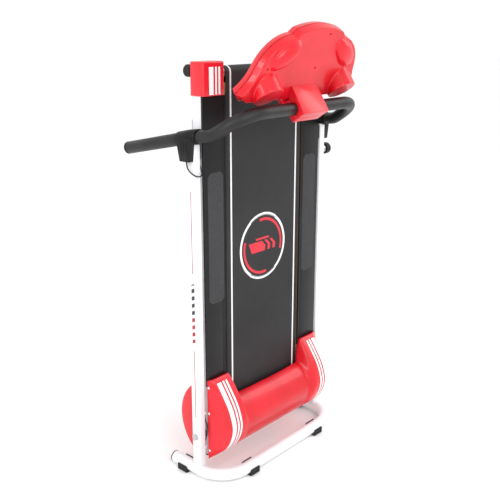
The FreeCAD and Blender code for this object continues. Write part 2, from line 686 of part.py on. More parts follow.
def powerRocker():
    """A short barrel across the switch, its top cut flat."""
    long, radius, flat = 24, 7, 3
    z = size.bellyBottom + 5
    barrel = Part.makeCylinder(radius, long, Vector(-size.socketX - long / 2, size.entryY, z),
                               Vector(1, 0, 0))
    above = Part.makeBox(long + 6, 20, 10, Vector(-size.socketX - long / 2 - 3, size.entryY - 10, z + flat))
    return barrel.cut(above)


node("power_switch_rocker", made("Rocker", powerRocker()))


# ---- handlebar ----

node("handlebar_tube", made("HandlebarTube", barSolid.cut(swept(barPath, size.barRadius - 2))))
foamSolid = swept(barPath, size.foamRadius).cut(barSolid)


def slab(low, high, front=-400, back=400):
    """A box across the handlebar that keeps x in a range and y in a range."""
    return Part.makeBox(high - low, back - front, 400, Vector(low, front, size.barEndZ - 100))


bracketSide = size.bracketHalf + size.gap
bowFoam = []
gripFoam = []
for side, sign in SIDES:
    near, far = sorted((sign * bracketSide, sign * 400))
    bowFoam.append(foamSolid.common(slab(near, far, back=size.collarFront - size.gap)))
    gripFoam.append(foamSolid.common(slab(near, far, front=size.collarBack + size.gap)))
node("bow_foam", made("BowFoam", Part.makeCompound(bowFoam)))
node("grip_foam", made("GripFoam", Part.makeCompound(gripFoam)))


def barEndCaps():
    caps = []
    for sign in (-1, 1):
        end = Vector(sign * bar[0].x, bar[0].y, bar[0].z)
        ahead = Vector(sign * bar[1].x, bar[1].y, bar[1].z)
        out = (end - ahead).normalize()
        caps.append(Part.makeCylinder(size.foamRadius, 6, end, out).fuse(
            Part.makeCylinder(size.barRadius - 2, 14, end - out * 14, out)))
    return Part.makeCompound(caps)


node("grip_end_caps", made("GripEndCaps", barEndCaps()))


def collar(sign):
    """A sleeve round the handlebar with a stem down the upright's outer side."""
    near, far = sorted((sign * 200, sign * 400))
    sleeve = swept(barPath, size.collarRadius).common(slab(near, far, size.collarFront, size.collarBack))
    low = min(sign * (size.baseHalf - size.uprightWide / 2), sign * (size.baseHalf + size.uprightWide / 2))
    upright = Part.makeBox(size.uprightWide, size.uprightDeep, size.uprightTop, Vector(low, 0, 0))
    top = size.barBendZ
    corners = [yz(size.collarFront + 3, top), yz(size.collarFront + 9, top - 22), yz(4, size.collarFoot),
               yz(size.uprightDeep + 3, size.collarFoot), yz(size.collarBack - 12, top - 22),
               yz(size.collarBack - 4, top)]
    outline = Part.Wire([line(a, b) for a, b in zip(corners, corners[1:] + corners[:1])])
    outer = sign * (size.baseHalf + size.uprightWide / 2)
    stem = extruded(outline, outer, outer + sign * size.collarStem)
    return sleeve.cut(upright).fuse(stem).cut(barSolid).removeSplitter()


for side, sign in SIDES:
    node(f"{side}_collar", made(f"Collar{side}", collar(sign)))
node("collar_plates", fuse("CollarPlates", [
    block(f"CollarPlate{side}", ("5", "uprightDeep - 8", "42"),
          (f"{sign} * ({uprightInner} - 2.5)", "uprightDeep / 2", "uprightTop - 26"))
    for side, sign in SIDES]))
node("collar_bolts", fuse("CollarBolts", [
    rod(f"CollarBolt{side}{i}", "5", "3",
        (f"{sign} * ({uprightInner} - 6.5)", "uprightDeep / 2 + 4", f"uprightTop - {low}"))
    for side, sign in SIDES for i, low in enumerate((14, 36))]))


# ---- deck lock on the right upright: parked, its pin clear of the deck ----

node("lock_housing", cut("LockHousing", rod("HousingBody", "housingRadius", "housingDepth",
                                            (f"{uprightOuter} + housingDepth / 2", "lockY", "lockZ")),
                         [rod("HousingBore", "plungerRadius + fit", "3 * housingDepth",
                              (uprightOuter, "lockY", "lockZ"))]))
knobStart = f"({uprightOuter} + plungerTravel + 2)"
knobFloor = f"({knobStart} + knobDepth - 10)"
knob = cut("KnobShell", rod("KnobBody", "knobRadius", "knobDepth",
                                      (f"{knobStart} + knobDepth / 2", "lockY", "lockZ")),
                      [rod("KnobHollow", "housingRadius + gap", "knobDepth",
                           (f"{knobFloor} - knobDepth / 2", "lockY", "lockZ"))])
plungerTip = "(deckHalf + 2.5)"
plunger = rod("LockPlunger", "plungerRadius", f"{knobFloor} - {plungerTip}",
              (f"({knobFloor} + {plungerTip}) / 2", "lockY", "lockZ"))
node("lock_knob", fuse("LockKnob", [knob, plunger]))


# ---- cables ----

def cord(name, points):
    """A free cable: straight runs joined by the largest tangent arcs that they allow."""
    bends = []
    for before, corner, after in zip(points, points[1:], points[2:]):
        turn = (corner - before).getAngle(after - corner)
        bends.append(0.45 * min((corner - before).Length, (after - corner).Length) / math.tan(turn / 2))
    path = roundedPath(points, bends)
    print(name, "length", round(path.Length, 1), "bend radii", [round(bend, 1) for bend in bends])
    return made(name, swept(path, size.cableRadius))


# The cable that leaves the left collar, hangs in front of the upright and goes
# in behind the collar's inner plate. Each point is the distance out from the
# upright's middle, the place along Y and the height above the collar's foot.
looped = [(22, 20, 0), (22, 20, -15), (20.5, 8, -29), (14.5, -4, -38), (4.5, -9.5, -41.5), (-6, -9.5, -39.5),
          (-13.5, -3.5, -32), (-16, 4, -21), (-15, 9.5, -9), (-15, 9.5, 3)]
node("console_cable", cord("ConsoleCable", [
    Vector(-size.baseHalf - x, y, size.collarFoot + z) for x, y, z in looped]))
# The wiring that runs down the left upright's inner face, past the pivot.
wiringX = -size.baseHalf + 15.5
node("harness_cable", cord("HarnessCable", [
    Vector(wiringX, size.cableY, size.cableHigh), Vector(wiringX, size.cableY, size.cableHigh - 14),
    Vector(wiringX, size.cableY - 11, size.cableHigh - 32),
    Vector(wiringX, size.cableY - 10, size.cableHigh - 54),
    Vector(wiringX, size.cableY - 6, size.cableLow + 30), Vector(wiringX, size.cableY, size.cableLow + 12),
    Vector(wiringX, size.cableY, size.cableLow)]))


# ---- console ----
# Its own frame: X across, Y up its back, Z towards the runner.

lean = math.radians(size.consoleLean)
consolePlace = Placement(Vector(0, -size.consoleY - size.footprintCentre, size.consoleZ),
                         Rotation(Vector(-1, 0, 0), Vector(0, -math.sin(lean), math.cos(lean)),
                                  Vector(0, math.cos(lean), math.sin(lean)), "ZXY"))


def consoleOutline(grow, depth):
    """The console seen square on, grown from its middle by a factor, at a depth."""
    right = [Vector(228, -60, 0), Vector(256, -36, 0), Vector(230, -8, 0), Vector(214, 30, 0),
             Vector(194, 76, 0), Vector(108, 127, 0), Vector(94, 142, 0)]
    middle = 40

    def at(point, sign=1):
        return Vector(sign * point.x * grow, middle + (point.y - middle) * grow, depth)

    p = [at(point) for point in right]
    q = [at(point, -1) for point in right]
    crown = at(Vector(0, 158, 0))
    rightSide = [line(p[0], p[1]), arc(p[1], p[2], p[3]), arc(p[3], p[4], p[5]), line(p[5], p[6])]
    leftSide = [line(q[6], q[5]), arc(q[5], q[4], q[3]), arc(q[3], q[2], q[1]), line(q[1], q[0])]
    return Part.Wire(rightSide + [arc(p[6], crown, q[6])] + leftSide + [line(q[0], p[0])])


def consoleLoft(growLow, low, growHigh, high):
    return Part.makeLoft([consoleOutline(growLow, low), consoleOutline(growHigh, high)], True, True)


tilt = math.radians(size.cupLean)


def cupAxis(sign):
    """Where a cup's axis starts, low at the back, and its direction, in model axes."""
    up = Vector(0, math.sin(tilt), math.cos(tilt))
    return Vector(sign * size.cupX, -size.cupY, size.consoleZ) + up * size.cupLow, up


def cupCylinder(sign, radius, low, high):
    start, up = cupAxis(sign)
    cylinder = Part.makeCylinder(radius, high - low, start + up * low, up)
    cylinder.translate(Vector(0, -size.footprintCentre, 0))
    cylinder.Placement = consolePlace.inverse().multiply(cylinder.Placement)
    return cylinder


backGrow = 0.97
wall = size.consoleWall
rim = size.consoleDepth
face = rim + size.frontDepth
backOuter = consoleLoft(backGrow, 0, 1, rim)
cupOuter = [cupCylinder(sign, size.cupRadius, 0, 95) for sign in (-1, 1)]
cupWell = [cupCylinder(sign, size.cupBore, wall, 200) for sign in (-1, 1)]
frontOuter = consoleLoft(1, rim + size.gap, 0.955, face)
belowRim = Part.makeBox(900, 900, rim + 300, Vector(-450, -450, -300))
aboveBack = Part.makeBox(900, 900, 300, Vector(-450, -450, rim + size.gap))


def consoleBack():
    shell = backOuter.cut(consoleLoft(backGrow - 0.02, wall, 0.98, rim + 0.01))
    for sleeve in cupOuter:
        shell = shell.cut(sleeve)
    return shell


def consoleCups():
    return Part.makeCompound([sleeve.common(belowRim).cut(well) for sleeve, well in zip(cupOuter, cupWell)])


def consoleFront():
    shell = frontOuter.cut(consoleLoft(0.98, rim + size.gap - 0.01, 0.935, face - wall))
    for sleeve, well in zip(cupOuter, cupWell):
        shell = shell.fuse(sleeve.common(aboveBack).common(frontOuter)).cut(well)
    return shell


def overFace(wide, tall, deep, x, y, z):
    """A box on the console's face, centred on x and y, from a height z above or below it."""
    return Part.makeBox(wide, tall, deep, Vector(x - wide / 2, y - tall / 2, face + z))


buttonSpots = {"speed_up": (64, 18), "speed_down": (-64, 18), "start": (30, -2), "stop": (-30, -2)}
windowY = 79
socketY = -37
socketWide = 23.4
socketTall = 13.4
keyWide = 18
keyTall = 8
frontShell = consoleFront().cut(overFace(size.windowWide, size.windowTall, 20, 0, windowY, -12))
for x, y in buttonSpots.values():
    frontShell = frontShell.cut(Part.makeCylinder(size.buttonRadius + size.gap, 30, Vector(x, y, face - 20)))
keySlot = overFace(keyWide, keyTall, 12, 0, socketY, -10)
socket = overFace(socketWide, socketTall, 12, 0, socketY, -12).cut(keySlot)
frontShell = frontShell.cut(overFace(socketWide, socketTall, 30, 0, socketY, -20)).fuse(socket)
node("console_back", made("ConsoleBack", consoleBack(), consolePlace))
node("console_cups", made("ConsoleCups", consoleCups(), consolePlace))
node("console_front", made("ConsoleFront", frontShell, consolePlace))
windowPane = overFace(size.windowWide, size.windowTall, 3, 0, windowY, -3)
node("display_window", made("DisplayWindow", windowPane, consolePlace))
board = overFace(180, 120, 1.6, 0, 46, -14)
display = overFace(size.windowWide - 4, size.windowTall - 4, 6, 0, windowY, -12.4)
node("console_board", made("ConsoleBoard", board.fuse(display), consolePlace))
for name, (x, y) in buttonSpots.items():
    stem = Part.makeCylinder(size.buttonRadius, 7, Vector(x, y, face - 5.5))
    flange = Part.makeCylinder(size.buttonRadius + 1.5, 1, Vector(x, y, face - 5.5))
    node(f"{name}_button", made(f"Button{name}", stem.fuse(flange), consolePlace))
key = overFace(keyWide - 2 * size.gap, keyTall - 2 * size.gap, 10, 0, socketY, -9)
key = key.fuse(overFace(28, 18, 5, 0, socketY, size.gap)).fuse(overFace(14, 6, 12, 0, socketY, 5))
node("safety_key", made("SafetyKey", key, consolePlace))


# ---- bracket that holds the console on the bow ----

bracketPlace = Placement(Vector(0, -size.bowFront - size.footprintCentre, size.bowZ),
                         Rotation(Vector(1, 0, 0), Vector(0, math.cos(tilt), -math.sin(tilt)),
                                  Vector(0, math.sin(tilt), math.cos(tilt)), "ZXY"))


def bracketHalf(front, back, low, high):
    piece = Part.makeBox(2 * size.bracketHalf, back - front, high - low,
                         Vector(-size.bracketHalf, front, low))
    piece.Placement = bracketPlace
    piece = piece.cut(placed(barSolid))
    console = backOuter.copy()
    console.Placement = consolePlace
    return piece.cut(console)


def placed(shape):
    moved = shape.copy()
    moved.translate(Vector(0, -size.footprintCentre, 0))
    return moved


frontHalf = bracketHalf(-size.bracketFace, 0, -size.bracketLow, size.bracketHigh)
node("console_bracket", made("ConsoleBracket", frontHalf, Placement()))
backHalf = bracketHalf(size.gap, size.bracketBack, -size.bracketLow, size.bracketLow)
node("console_clamp", made("ConsoleClamp", backHalf, Placement()))


# ---- checks and files ----

doc.recompute()
for thing in doc.Objects:
    if {"Invalid", "Error"} & set(thing.State):
        raise RuntimeError(f"{thing.Name} failed: {thing.State}")
for thing in nodes:
    if thing.Shape.isNull() or not thing.Shape.isValid() or not thing.Shape.Solids:
        raise RuntimeError(f"{thing.Label} has no valid solid")
for thing in nodes:
    thing.Shape.exportStep(f"parts/{thing.Label}.step")
print(len(nodes), "pieces written")
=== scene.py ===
import json
import math

import bmesh
import bpy
from mathutils import Matrix, Vector


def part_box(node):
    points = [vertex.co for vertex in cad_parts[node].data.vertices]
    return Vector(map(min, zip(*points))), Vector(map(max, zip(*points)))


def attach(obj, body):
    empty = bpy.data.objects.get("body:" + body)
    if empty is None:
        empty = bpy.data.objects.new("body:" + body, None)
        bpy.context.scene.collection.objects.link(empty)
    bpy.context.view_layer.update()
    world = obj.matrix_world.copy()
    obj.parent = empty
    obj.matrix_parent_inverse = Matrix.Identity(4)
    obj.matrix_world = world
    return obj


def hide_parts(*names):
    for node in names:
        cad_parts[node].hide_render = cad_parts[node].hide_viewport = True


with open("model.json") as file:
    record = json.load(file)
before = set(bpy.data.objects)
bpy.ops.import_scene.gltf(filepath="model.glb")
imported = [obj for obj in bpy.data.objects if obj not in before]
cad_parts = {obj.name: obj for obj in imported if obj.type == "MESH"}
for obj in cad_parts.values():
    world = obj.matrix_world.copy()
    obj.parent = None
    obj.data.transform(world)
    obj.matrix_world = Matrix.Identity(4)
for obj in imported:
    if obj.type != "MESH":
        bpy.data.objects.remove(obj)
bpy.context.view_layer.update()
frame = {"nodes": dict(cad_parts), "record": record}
nodes = frame["nodes"]
behaviour = frame["record"]["behaviour"]
bodyOf = {node: body for body, members in behaviour["bodies"].items() for node in members}
slotOf = {part["node"]: part["material_slot"] for part in frame["record"]["subparts"]}
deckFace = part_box("left_foot_rail")[0].y  # front of the foot rails, which the hood sits on
sides = (("left", -1), ("right", 1))


# working helpers

def alone(piece):
    bpy.ops.object.select_all(action="DESELECT")
    piece.select_set(True)
    bpy.context.view_layer.objects.active = piece
    return piece


def edit(piece):
    alone(piece)
    bpy.ops.object.mode_set(mode="EDIT")
    bpy.ops.mesh.select_all(action="DESELECT")


def done():
    bpy.ops.object.mode_set(mode="OBJECT")


def pickFaces(piece, test):
    # leaves the piece in edit mode with the faces selected whose middle and normal pass
    edit(piece)
    bpy.ops.mesh.select_mode(type="FACE")
    mesh = bmesh.from_edit_mesh(piece.data)
    for face in mesh.faces:
        face.select_set(bool(test(face.calc_center_median(), face.normal)))
    bmesh.update_edit_mesh(piece.data)


def pickEdges(piece, test):
    edit(piece)
    bpy.ops.mesh.select_mode(type="EDGE")
    mesh = bmesh.from_edit_mesh(piece.data)
    for edge in mesh.edges:
        a, b = (vertex.co for vertex in edge.verts)
        edge.select_set(bool(test((a + b) / 2, (b - a).normalized())))
    bmesh.update_edit_mesh(piece.data)


def modify(piece, kind, **settings):
    alone(piece)
    modifier = piece.modifiers.new(kind.title(), kind)
    for name, value in settings.items():
        setattr(modifier, name, value)
    bpy.ops.object.modifier_apply(modifier=modifier.name)
    return piece


def ease(piece, width, segments=2, angle=35):
    # rounds the piece's sharp edges
    return modify(piece, "BEVEL", width=width, segments=segments, limit_method="ANGLE",
                  angle_limit=math.radians(angle), use_clamp_overlap=True)


def smooth(piece, angle=35):
    alone(piece)
    bpy.ops.object.shade_smooth_by_angle(angle=math.radians(angle))
    return piece


def settle(piece):
    alone(piece)
    bpy.ops.object.transform_apply(location=True, rotation=True, scale=True)
    return piece


def named(name):
    piece = bpy.context.active_object
    piece.name = name
    piece.data.name = name
    return piece


def addBlock(name, low, high):
    low, high = Vector(low), Vector(high)
    bpy.ops.object.select_all(action="DESELECT")
    bpy.ops.mesh.primitive_cube_add(size=1, location=(low + high) / 2)
    piece = named(name)
    piece.scale = high - low
    return settle(piece)


def addRod(name, start, end, radius, sides=48, tip=None):
    start, end = Vector(start), Vector(end)
    bpy.ops.object.select_all(action="DESELECT")
    bpy.ops.mesh.primitive_cone_add(vertices=sides, radius1=radius, radius2=radius if tip is None else tip,
                                    depth=(end - start).length, location=(start + end) / 2,
                                    rotation=(end - start).to_track_quat("Z", "Y").to_euler())
    return settle(named(name))


def addProfile(name, outline, lift):
    # a closed outline filled, then extruded by lift
    bpy.ops.object.select_all(action="DESELECT")
    bpy.ops.mesh.primitive_circle_add(vertices=len(outline), radius=1, fill_type="NGON")
    piece = named(name)
    for vertex, point in zip(piece.data.vertices, outline):
        vertex.co = point
    edit(piece)
    bpy.ops.mesh.select_all(action="SELECT")
    bpy.ops.mesh.extrude_region_move(TRANSFORM_OT_translate={"value": lift})
    bpy.ops.mesh.select_all(action="SELECT")
    bpy.ops.mesh.normals_make_consistent(inside=False)
    done()
    return piece


def joined(name, pieces):
    alone(pieces[0])
    for piece in pieces:
        piece.select_set(True)
    bpy.ops.object.join()
    return named(name)


def copied(piece, turn, place):
    copy = piece.copy()
    copy.data = piece.data.copy()
    bpy.context.scene.collection.objects.link(copy)
    copy.rotation_euler = (0, 0, turn)
    copy.location = place
    return settle(copy)


def carve(piece, tool):
    modify(piece, "BOOLEAN", object=tool, operation="DIFFERENCE", solver="EXACT")
    bpy.data.objects.remove(tool)
    return piece


def welded(name, *cadNodes):
    # a copy of CAD solids as one clean mesh
    copies = []
    for node in cadNodes:
        copy = bpy.data.objects.new(name, nodes[node].data.copy())
        bpy.context.scene.collection.objects.link(copy)
        copies.append(copy)
    piece = joined(name, copies)
    edit(piece)
    bpy.ops.mesh.select_all(action="SELECT")
    bpy.ops.mesh.customdata_custom_splitnormals_clear()
    bpy.ops.mesh.remove_doubles(threshold=0.00002)
    bpy.ops.mesh.dissolve_limited(angle_limit=math.radians(0.5))
    done()
    return piece


def finished(piece, paint, *stoodFor, body=None, slot=None):
    # puts a finish on the piece and ties it to its body
    piece.data.materials.clear()
    piece.data.materials.append(paint)
    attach(piece, body or bodyOf[stoodFor[0]])
    if stoodFor:
        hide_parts(*stoodFor)
    return piece


def arcPoints(a, b, c, count):
    # points along the arc from a to c through b, in a plane of constant z, without the last
    ax, ay, bx, by, cx, cy = a.x, a.y, b.x, b.y, c.x, c.y
    d = 2 * (ax * (by - cy) + bx * (cy - ay) + cx * (ay - by))
    ux = ((ax**2 + ay**2) * (by - cy) + (bx**2 + by**2) * (cy - ay) + (cx**2 + cy**2) * (ay - by)) / d
    uy = ((ax**2 + ay**2) * (cx - bx) + (bx**2 + by**2) * (ax - cx) + (cx**2 + cy**2) * (bx - ax)) / d
    radius = math.hypot(ax - ux, ay - uy)
    start, through, stop = (math.atan2(y - uy, x - ux) for x, y in ((ax, ay), (bx, by), (cx, cy)))
    turn = (stop - start) % math.tau
    if (through - start) % math.tau > turn:
        turn -= math.tau
    return [Vector((ux + radius * math.cos(start + turn * i / count),
                    uy + radius * math.sin(start + turn * i / count), a.z)) for i in range(count)]


def blendOf(low, high, value):
    t = min(1, max(0, (value - low) / (high - low)))
    return t * t * (3 - 2 * t)


# shader helpers

class Socket:
    def __init__(self, paint, output):
        self.paint = paint
        self.output = output

    def math(self, operation, *others):
        return self.paint.make("ShaderNodeMath", {"operation": operation}, [self, *others])

    def __add__(self, other):
        return self.math("ADD", other)

    def __sub__(self, other):
        return self.math("SUBTRACT", other)

    def __rsub__(self, other):
        return self.paint.make("ShaderNodeMath", {"operation": "SUBTRACT"}, [other, self])

    def __mul__(self, other):
        return self.math("MULTIPLY", other)

    def __gt__(self, other):
        return self.math("GREATER_THAN", other)

    def __lt__(self, other):
        return self.math("LESS_THAN", other)

    def __abs__(self):
        return self.math("ABSOLUTE")

    def __or__(self, other):
        return self.math("MAXIMUM", other)

    __radd__ = __add__
    __rmul__ = __mul__

    def between(self, low, high):
        return (self > low) * (self < high)

    def soft(self, low, high):
        return self.paint.make("ShaderNodeMapRange", {"interpolation_type": "SMOOTHSTEP"},
                               {"Value": self, "From Min": low, "From Max": high})


class Paint:
    def __init__(self, name, **shader):
        self.material = bpy.data.materials.new(name)
        self.material.use_nodes = True
        self.tree = self.material.node_tree
        self.shader = self.tree.nodes["Principled BSDF"]
        for socket, value in shader.items():
            self.shader.inputs[socket.replace("_", " ")].default_value = value

    def make(self, kind, settings, sockets, output=0):
        # adds one node: its settings first, then a value or a link for each socket
        node = self.tree.nodes.new(kind)
        for name, value in settings.items():
            setattr(node, name, value)
        for key, value in sockets.items() if isinstance(sockets, dict) else enumerate(sockets):
            if isinstance(value, Socket):
                self.tree.links.new(value.output, node.inputs[key])
            else:
                node.inputs[key].default_value = value
        return Socket(self, node.outputs[output])

    def place(self):
        parts = self.make("ShaderNodeSeparateXYZ", {}, [self.coordinates("Object")])
        return [Socket(self, output) for output in parts.output.node.outputs]

    def facing(self):
        parts = self.make("ShaderNodeSeparateXYZ", {}, [self.coordinates("Normal")])
        return [Socket(self, output) for output in parts.output.node.outputs]

    def coordinates(self, name):
        return self.make("ShaderNodeTexCoord", {}, {}, output=name)

    def noise(self, scale, detail=3, rough=0.5, stretch=None):
        where = self.coordinates("Object")
        if stretch:
            where = self.make("ShaderNodeVectorMath", {"operation": "MULTIPLY"}, [where, stretch])
        return self.make("ShaderNodeTexNoise", {}, {"Vector": where, "Scale": scale, "Detail": detail,
                                                    "Roughness": rough})

    def grains(self, scale):
        return self.make("ShaderNodeTexVoronoi", {}, {"Vector": self.coordinates("Object"),
                                                      "Scale": scale})

    def mix(self, factor, a, b):
        return self.make("ShaderNodeMix", {"data_type": "RGBA"}, {0: factor, 6: a, 7: b}, output=2)

    def bump(self, height, strength, distance):
        normal = self.make("ShaderNodeBump", {}, {"Height": height, "Strength": strength,
                                                  "Distance": distance})
        self.link(normal, "Normal")

    def link(self, value, socket):
        self.tree.links.new(value.output, self.shader.inputs[socket])

    def wear(self):
        # how sharply an edge stands out, 0 on flats to 1 on edges
        edge = self.make("ShaderNodeNewGeometry", {}, {}, output="Pointiness")
        return edge.soft(0.52, 0.62)


def grey(value, tint=0.0):
    return (value, value, value * (1 + tint), 1)


# the three white bands, as distances from the middle, and the dark rim round each
stripeSpans = ((0.2215, 0.2385), (0.2085, 0.2155), (0.1955, 0.2030))
stripeRim = 0.0011


def redPlastic(name, stripes=None):
    # gloss moulded plastic; stripes is a range of heights for the three white bands
    finish = {"base": (0.80, 0.009, 0.024, 1), "deep": (0.64, 0.005, 0.014, 1),
              "edge": (0.90, 0.065, 0.075, 1), "line": (0.26, 0.004, 0.010, 1),
              "white": (0.93, 0.92, 0.92, 1)}
    paint = Paint(name, Coat_Weight=0.2, Coat_Roughness=0.09, Specular_IOR_Level=0.38)
    cloud = paint.noise(9, 2)
    colour = paint.mix(cloud.soft(0.35, 0.7), finish["deep"], finish["base"])
    colour = paint.mix(paint.wear() * 0.5, colour, finish["edge"])
    rough = 0.27 + paint.noise(60, 3) * 0.12
    if stripes:
        x, y, z = paint.place()
        normal = paint.facing()
        front = (normal[1] < -0.25) * z.between(*stripes)
        across = abs(x)
        white = None
        rim = None
        for low, high in stripeSpans:
            band = across.between(low, high)
            border = across.between(low - stripeRim, high + stripeRim)
            white = band if white is None else white | band
            rim = border if rim is None else rim | border
        colour = paint.mix(rim * front, colour, finish["line"])
        colour = paint.mix(white * front, colour, finish["white"])
    paint.link(colour, "Base Color")
    paint.link(rough, "Roughness")
    paint.bump(paint.noise(420, 2), 0.05, 0.0004)
    return paint.material


def whitePaint(decal=False):
    # powder coat on steel, with the printed lines and slanted bars on the uprights' outer faces
    finish = {"base": (0.86, 0.865, 0.885, 1), "shade": (0.78, 0.785, 0.81, 1),
              "scuff": (0.55, 0.55, 0.56, 1), "red": (0.38, 0.012, 0.022, 1),
              "black": (0.022, 0.02, 0.024, 1)}
    marks = {"middle": deckFace + 0.017, "rule": 0.0014, "upperRule": (0.665, 0.905),
             "lowerRule": (0.205, 0.425), "slant": 0.45, "step": 0.0225, "bar": 0.0125, "barHalf": 0.0062,
             "bars": (0.4510, 0.6340), "change": 0.531}
    paint = Paint("whitePowderCoat" + ("Printed" if decal else ""), Coat_Weight=0.25, Coat_Roughness=0.15)
    colour = paint.mix(paint.noise(5, 2).soft(0.3, 0.7), finish["shade"], finish["base"])
    scuffs = paint.noise(38, 6, 0.7).soft(0.72, 0.78) * 0.25
    colour = paint.mix(scuffs | (paint.wear() * 0.12), colour, finish["scuff"])
    if decal:
        x, y, z = paint.place()
        normal = paint.facing()
        face = abs(normal[0]) > 0.9
        across = y - marks["middle"]
        runs = z.between(*marks["upperRule"]) | z.between(*marks["lowerRule"])
        rules = (abs(across) < marks["rule"]) * runs
        slanted = z + across * marks["slant"]
        step = slanted.math("MODULO", marks["step"])
        bars = (step < marks["bar"]) * (abs(across) < marks["barHalf"]) * slanted.between(*marks["bars"])
        upper = slanted > marks["change"]
        colour = paint.mix(face * (rules | (bars * (1 - upper))), colour, finish["red"])
        colour = paint.mix(face * bars * upper, colour, finish["black"])
    paint.link(colour, "Base Color")
    paint.link(0.3 + paint.noise(90, 2) * 0.1, "Roughness")
    paint.bump(paint.noise(260, 2), 0.08, 0.0004)
    return paint.material


def blackPlastic(name="blackPlastic", shine=0.36, brushed=False):
    paint = Paint(name, Specular_IOR_Level=0.22)
    colour = paint.mix(paint.noise(14, 3).soft(0.3, 0.75), grey(0.005, 0.1), grey(0.009, 0.12))
    colour = paint.mix(paint.wear() * 0.35, colour, grey(0.045, 0.05))
    paint.link(colour, "Base Color")
    streaks = paint.noise(1, 3, stretch=(220, 220, 3)) if brushed else paint.noise(120, 3)
    paint.link(shine + streaks * 0.14, "Roughness")
    paint.bump(paint.grains(900), 0.12, 0.0003)
    return paint.material


def gripTape():
    # coarse anti-slip sheet
    paint = Paint("gripTape", Specular_IOR_Level=0.4)
    grains = paint.grains(700)
    speck = paint.noise(520, 2).soft(0.56, 0.70)
    colour = paint.mix(grains.soft(0.1, 0.6), grey(0.010), grey(0.045, 0.06))
    colour = paint.mix(speck * 0.8, colour, grey(0.17, 0.06))
    paint.link(colour, "Base Color")
    paint.link(0.72 + paint.noise(300, 2) * 0.2, "Roughness")
    paint.bump(grains + paint.noise(450, 3), 0.9, 0.0007)
    return paint.material


def beltSheet():
    # woven belt with a white line along each edge and a round mark on its front run
    size = {"line": 0.1435, "lineWide": 0.0062, "markX": -0.006, "markZ": 0.690, "ring": 0.1005,
            "ringWide": 0.0085, "gapWide": 0.0016, "arc": 0.0850, "arcWide": 0.0085, "thread": 2100}
    paint = Paint("beltSheet", Specular_IOR_Level=0.3)
    x, y, z = paint.place()
    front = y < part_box("front_roller")[0].y
    weave = (x * size["thread"]).math("SINE") * (z * size["thread"]).math("SINE")
    sheen = paint.noise(3, 2)
    colour = paint.mix(sheen.soft(0.3, 0.75), grey(0.013, 0.06), grey(0.024, 0.08))
    colour = paint.mix(weave.soft(0.0, 1.0) * 0.35, colour, grey(0.045, 0.06))
    white = abs(x).between(size["line"], size["line"] + size["lineWide"])
    east, north = x - size["markX"], z - size["markZ"]
    reach = (east * east + north * north).math("SQRT")
    angle = north.math("ARCTAN2", east)
    gap = abs(reach - size["ring"] + 0.0015) < size["gapWide"] / 2
    doubled = (abs(angle) > 0.96) * (abs(angle) < 2.18)
    ring = abs(reach - size["ring"]) < size["ringWide"] / 2
    step = abs(reach - size["ring"] - 0.0012) < size["ringWide"] / 2
    ring = (ring * (1 - doubled)) | (step * doubled * (1 - gap))
    sweep = angle.between(-0.30, 1.75) | (abs(angle) > 2.84) | angle.between(-math.pi, -1.39)
    arcs = (abs(reach - size["arc"]) < size["arcWide"] / 2) * sweep
    lean = east + north * 0.42
    row = abs(north) < 0.0165
    chevron = ((lean + abs(north) * 0.55).math("MODULO", 0.0235) < 0.0115) * row * (abs(lean) < 0.058)
    small = (abs(north - 0.0245) < 0.0032) * (abs(lean - 0.008) < 0.030)
    colour = paint.mix(front * (arcs | chevron | small), colour, (0.72, 0.035, 0.055, 1))
    colour = paint.mix((front * ring) | white, colour, (0.88, 0.88, 0.89, 1))
    paint.link(colour, "Base Color")
    paint.link(0.46 + paint.noise(25, 4) * 0.16, "Roughness")
    paint.bump(weave + paint.noise(600, 2) * 0.4, 0.22, 0.0004)
    return paint.material


def gripFoam():
    paint = Paint("gripFoam", Specular_IOR_Level=0.42)
    pores = paint.grains(1100)
    colour = paint.mix(paint.noise(22, 4).soft(0.3, 0.7), grey(0.007, 0.04), grey(0.014, 0.06))
    paint.link(paint.mix(pores.soft(0.0, 0.35), grey(0.008), colour), "Base Color")
    paint.link(0.33 + paint.noise(45, 4) * 0.16, "Roughness")
    paint.bump(pores + paint.noise(70, 4) * 0.6, 0.28, 0.0006)
    return paint.material


def rubber():
    paint = Paint("blackRubber", Specular_IOR_Level=0.35)
    dust = paint.noise(35, 5, 0.65).soft(0.55, 0.8)
    paint.link(paint.mix(dust * 0.3, grey(0.017), grey(0.085, -0.05)), "Base Color")
    paint.link(0.62 + paint.noise(200, 3) * 0.2, "Roughness")
    paint.bump(paint.noise(700, 3), 0.3, 0.0003)
    return paint.material


def metal(name, tone, rough, stretch, spots=0.0):
    paint = Paint(name, Metallic=1.0)
    brush = paint.noise(1, 4, stretch=stretch)
    cloud = paint.noise(30, 4).soft(0.35, 0.7)
    dark = tuple(part * 0.78 for part in tone[:3]) + (1,)
    colour = paint.mix(cloud * 0.6 + brush * 0.3, tone, dark)
    if spots:
        colour = paint.mix(paint.noise(180, 3).soft(0.62, 0.72) * spots, colour, (0.35, 0.31, 0.24, 1))
    paint.link(colour, "Base Color")
    paint.link(rough + brush * 0.15, "Roughness")
    paint.bump(brush, 0.08, 0.0002)
    return paint.material


def plain(name, tone, other, rough, grain=160, bump=0.12, **shader):
    # a moulded or pressed finish with a fine mottle between two tones
    paint = Paint(name, **shader)
    colour = paint.mix(paint.noise(grain, 4, 0.6).soft(0.3, 0.7), tone, other)
    paint.link(colour, "Base Color")
    paint.link(rough + paint.noise(grain / 2, 3) * 0.12, "Roughness")
    paint.bump(paint.noise(grain * 2, 3), bump, 0.0003)
    return paint.material


